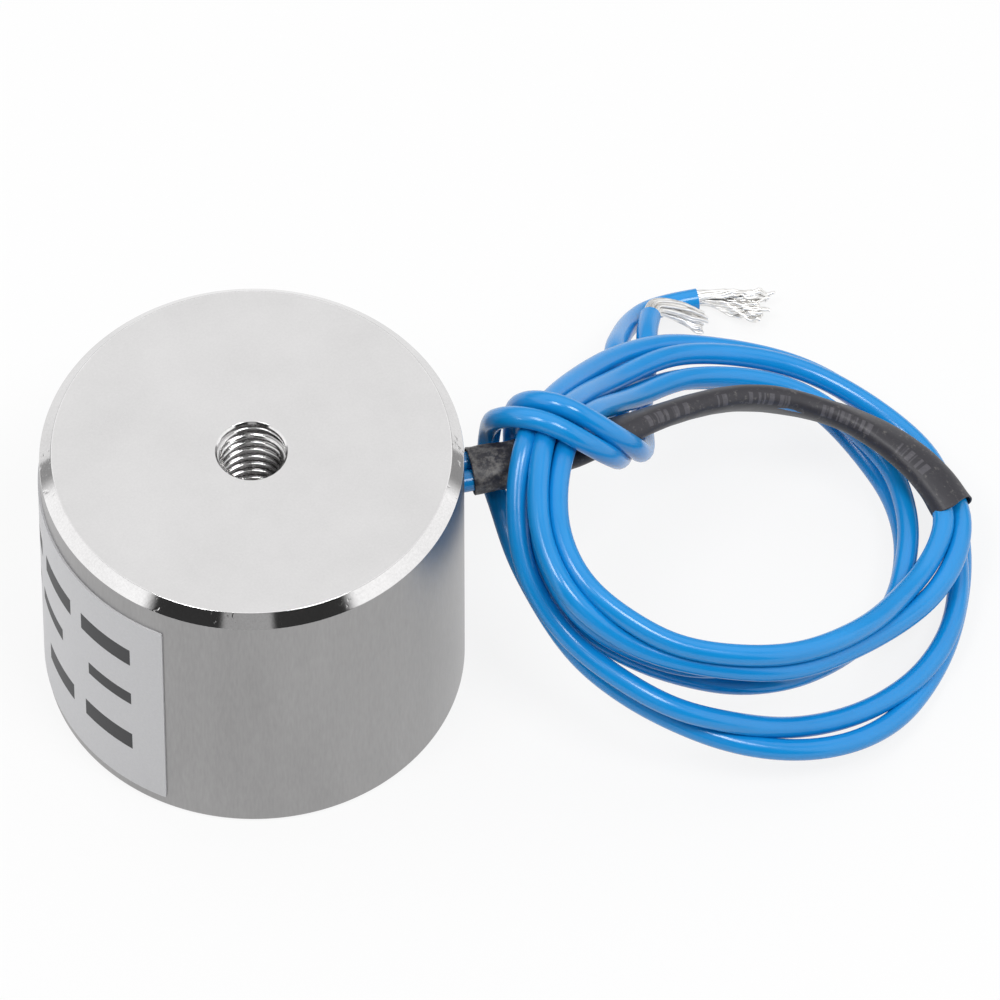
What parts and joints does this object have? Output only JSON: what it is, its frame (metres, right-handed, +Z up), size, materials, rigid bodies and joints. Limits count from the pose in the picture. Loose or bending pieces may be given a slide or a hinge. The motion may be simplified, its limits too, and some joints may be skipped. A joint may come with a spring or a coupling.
{
  "type": "holding electromagnet",
  "caption": "Round pot electromagnet: steel cup with a resin-sealed coil on its holding face, a tapped hole in its back, and insulated leads in a sleeve, coiled and tied, ends stripped.",
  "frame": {"origin": "centre of the holding face, which the magnet stands on", "axes": "+Z up along the pot's axis, out of the tapped hole in the back; +X out of the lead hole in the wall"},
  "size_m": [0.057, 0.0391, 0.02],
  "materials": {
    "plated_steel": "nickel plated, fine turned satin",
    "bobbin_nylon": "natural nylon",
    "enamelled_copper": "enamelled copper wire, wound",
    "polyester_tape": "polyester tape",
    "potting_resin": "cast resin, levelled",
    "splice_tube": "shrink tube",
    "lead_pvc": "PVC insulation, semi-gloss",
    "heat_shrink": "heat-shrink tube, satin",
    "tinned_copper": "tinned copper strands",
    "label_film": "matt silver film"
  },
  "bodies": {
    "root": {"pot_body": "plated_steel", "bobbin": "bobbin_nylon", "winding": "enamelled_copper", "winding_tape": "polyester_tape", "potting_ring": "potting_resin", "splice_a": "splice_tube", "splice_b": "splice_tube", "lead_run_a": "lead_pvc", "lead_run_b": "lead_pvc", "lead_sleeve": "heat_shrink", "lead_coil": "lead_pvc", "lead_tail_a": "lead_pvc", "lead_tail_b": "lead_pvc", "strands_a": "tinned_copper", "strands_b": "tinned_copper", "label": "label_film"}
  },
  "joints": []
}
